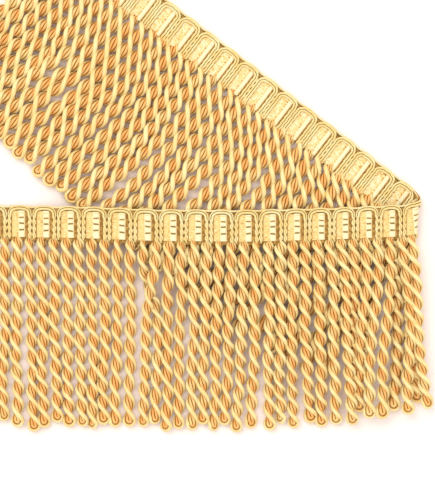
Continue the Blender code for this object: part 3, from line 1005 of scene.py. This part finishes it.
def yarn_finish(name, look):
    """A yarn: painted groove shade where it faces the cord's middle, its own colours where it faces
    out.
    """
    finish, nodes, links, principled = shader(name, look.roughness, look.sheen, YARN_SPECULAR)
    shade, chance = tint_channels(nodes, links)
    lines = filaments(nodes, links, principled, look.lines_round, look.lines_per_mm, look.bump)
    patches = ranged(nodes, links, noise(nodes, links, PATCH_SCALE), *PATCH_RANGE)
    outer = mixed(nodes, links, patches, look.pale, look.base)
    own = ranged(nodes, links, chance, 0.0, 1.0, 0.0, CHANCE_SHARE)
    outer = mixed(nodes, links, own, outer, look.base)
    out_of_groove = ranged(nodes, links, shade, look.groove_from, look.groove_to)
    # painted shade where the yarn faces into the groove
    colour = mixed(nodes, links, out_of_groove, look.deep, outer)
    # painted shade in thin lines between the filaments
    filament_shade = ranged(nodes, links, lines, -1.0, 1.0, 0.0, FILAMENT_SHADE)
    colour = mixed(nodes, links, filament_shade, colour, look.deep)
    links.new(colour, principled.inputs["Base Color"])
    return finish


def panel_finish():
    """The satin by its shade: below nought the painted shadow of a stitch, then painted shadow,
    plain yarn, and pale satin that is cream of its own and partly painted sheen.
    """
    finish, nodes, links, principled = shader("panel_satin", 0.4, 0.1, 0.4)
    shade, _ = tint_channels(nodes, links)
    lines = filaments(nodes, links, principled, 0.0, SATIN_LINES_PER_MM, SATIN_BUMP)
    colour = STITCH_SHADOW
    for tone in PANEL_TONES:
        share = ranged(nodes, links, shade, tone.shade_from, tone.shade_to)
        colour = mixed(nodes, links, share, colour, tone.colour)
    # painted shade in thin lines between the satin's filaments
    filament_shade = ranged(nodes, links, lines, -1.0, 1.0, 0.0, FILAMENT_SHADE)
    colour = mixed(nodes, links, filament_shade, colour, SATIN_FILAMENT_SHADE)
    links.new(colour, principled.inputs["Base Color"])
    return finish


def cloudy_finish(name, roughness, sheen, scale, cloud_range, colours):
    """Two colours in soft patches."""
    finish, nodes, links, principled = shader(name, roughness, sheen, 0.2)
    patches = ranged(nodes, links, noise(nodes, links, scale), *cloud_range)
    links.new(mixed(nodes, links, patches, *colours), principled.inputs["Base Color"])
    return finish


def make_cords(pale_finish, inner_finish):
    reach = under_reach()
    groups = (
        ("under", UNDER_CORDS, under_path, UNDER_THICKNESS, UNDER_SEED),
        ("over", OVER_CORDS, lambda number: over_path(number, reach), 1.0, OVER_SEED),
    )
    for group, numbers, path, thickness, seed in groups:
        rng = np.random.default_rng(seed)
        pale = Yarns()
        inner = Yarns()
        for number in numbers:
            calm = CALM if any(way.number == number for way in WAYS) else 1.0
            line = from_root(swayed(path(number), calm, rng), number)
            add_cord(pale, inner, line, thickness, rng.uniform(), rng)
        for obj in (
            pale.made(f"cord_outer_yarns_{group}", pale_finish),
            inner.made(f"cord_inner_yarns_{group}", inner_finish),
        ):
            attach(obj, "root")
            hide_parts(f"fringe_{group}")


def make_heading(braid_finish, satin_finish, shade_tape_finish):
    rng = np.random.default_rng(HEADING_SEED)
    face, back, edge = Yarns(), Yarns(), Yarns()
    face_panels, back_panels = Yarns(), Yarns()
    for arch in range(ARCHES):
        start = FIRST_S + ARCH_PITCH * arch
        add_face_arch(face, start, rng)
        add_back_arch(back, start, rng)
        add_panel(face_panels, start, True, rng)
        add_panel(back_panels, start, False, rng)
    add_edge(edge, -1.0, rng)
    add_edge(edge, 1.0, rng)
    tape = make_shade_tape(shade_tape_finish)
    made = (
        face.made("braid_face_arches", braid_finish),
        back.made("braid_back_arches", braid_finish),
        edge.made("braid_edge_yarns", braid_finish),
        face_panels.made("braid_face_panels", satin_finish),
        back_panels.made("braid_back_panels", satin_finish),
        tape,
    )
    for obj in made:
        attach(obj, "root")
        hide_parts("heading")


def make_camera():
    x, y = from_pixel(IMAGE_PX[0] / 2, IMAGE_PX[1] / 2)
    data = bpy.data.cameras.new("camera")
    data.sensor_width = SENSOR
    data.lens = SENSOR * CAMERA_HEIGHT / (IMAGE_PX[1] * PIXEL)
    data.clip_start, data.clip_end = CLIP
    camera = bpy.data.objects.new("camera", data)
    camera.location = (x * MM, y * MM, (CAMERA_HEIGHT + SHARP_HEIGHT) * MM)
    bpy.context.scene.collection.objects.link(camera)
    bpy.context.scene.camera = camera


def make_floor():
    sides = ((-1.0, -1.0), (1.0, -1.0), (1.0, 1.0), (-1.0, 1.0))
    corners = [(x * FLOOR_REACH, y * FLOOR_REACH, 0.0) for x, y in sides]
    mesh = bpy.data.meshes.new("floor")
    mesh.from_pydata(corners, [], [range(len(corners))])
    finish = cloudy_finish("floor", 0.7, 0.0, FLOOR_SCALE, FLOOR_RANGE, FLOOR_COLOURS)
    mesh.materials.append(finish)
    floor = bpy.data.objects.new("floor", mesh)
    bpy.context.scene.collection.objects.link(floor)


def add_light(light):
    data = bpy.data.lights.new(light.name, "AREA")
    data.shape = "DISK"
    data.size = light.size
    data.energy = light.power
    data.color = light.colour
    lamp = bpy.data.objects.new(light.name, data)
    lamp.location = light.place
    lamp.rotation_mode = "QUATERNION"
    lamp.rotation_quaternion = (-Vector(light.place)).to_track_quat("-Z", "Y")
    bpy.context.scene.collection.objects.link(lamp)


def make_light():
    for light in LIGHTS:
        add_light(light)
    world = bpy.data.worlds.new("studio")
    world.use_nodes = True
    background = world.node_tree.nodes["Background"]
    background.inputs["Color"].default_value = (1.0, 1.0, 1.0, 1.0)
    background.inputs["Strength"].default_value = WORLD_STRENGTH
    bpy.context.scene.world = world
    settings = bpy.context.scene.view_settings
    settings.view_transform = "Standard"
    settings.look = "None"
    settings.exposure = 0.0


make_camera()
make_floor()
make_light()
pale_yarn = yarn_finish("pale_yarn", PALE_YARN)
inner_yarn = yarn_finish("inner_yarn", INNER_YARN)
braid_yarn = yarn_finish("braid_yarn", BRAID_YARN)
make_cords(pale_yarn, inner_yarn)
# the tape's dark browns are painted shade in the gaps between the braid's yarns
tape_shade_finish = cloudy_finish("tape_painted_shade", 0.8, 0.1, TAPE_SCALE, TAPE_RANGE, TAPE_SHADE_COLOURS)
make_heading(braid_yarn, panel_finish(), tape_shade_finish)
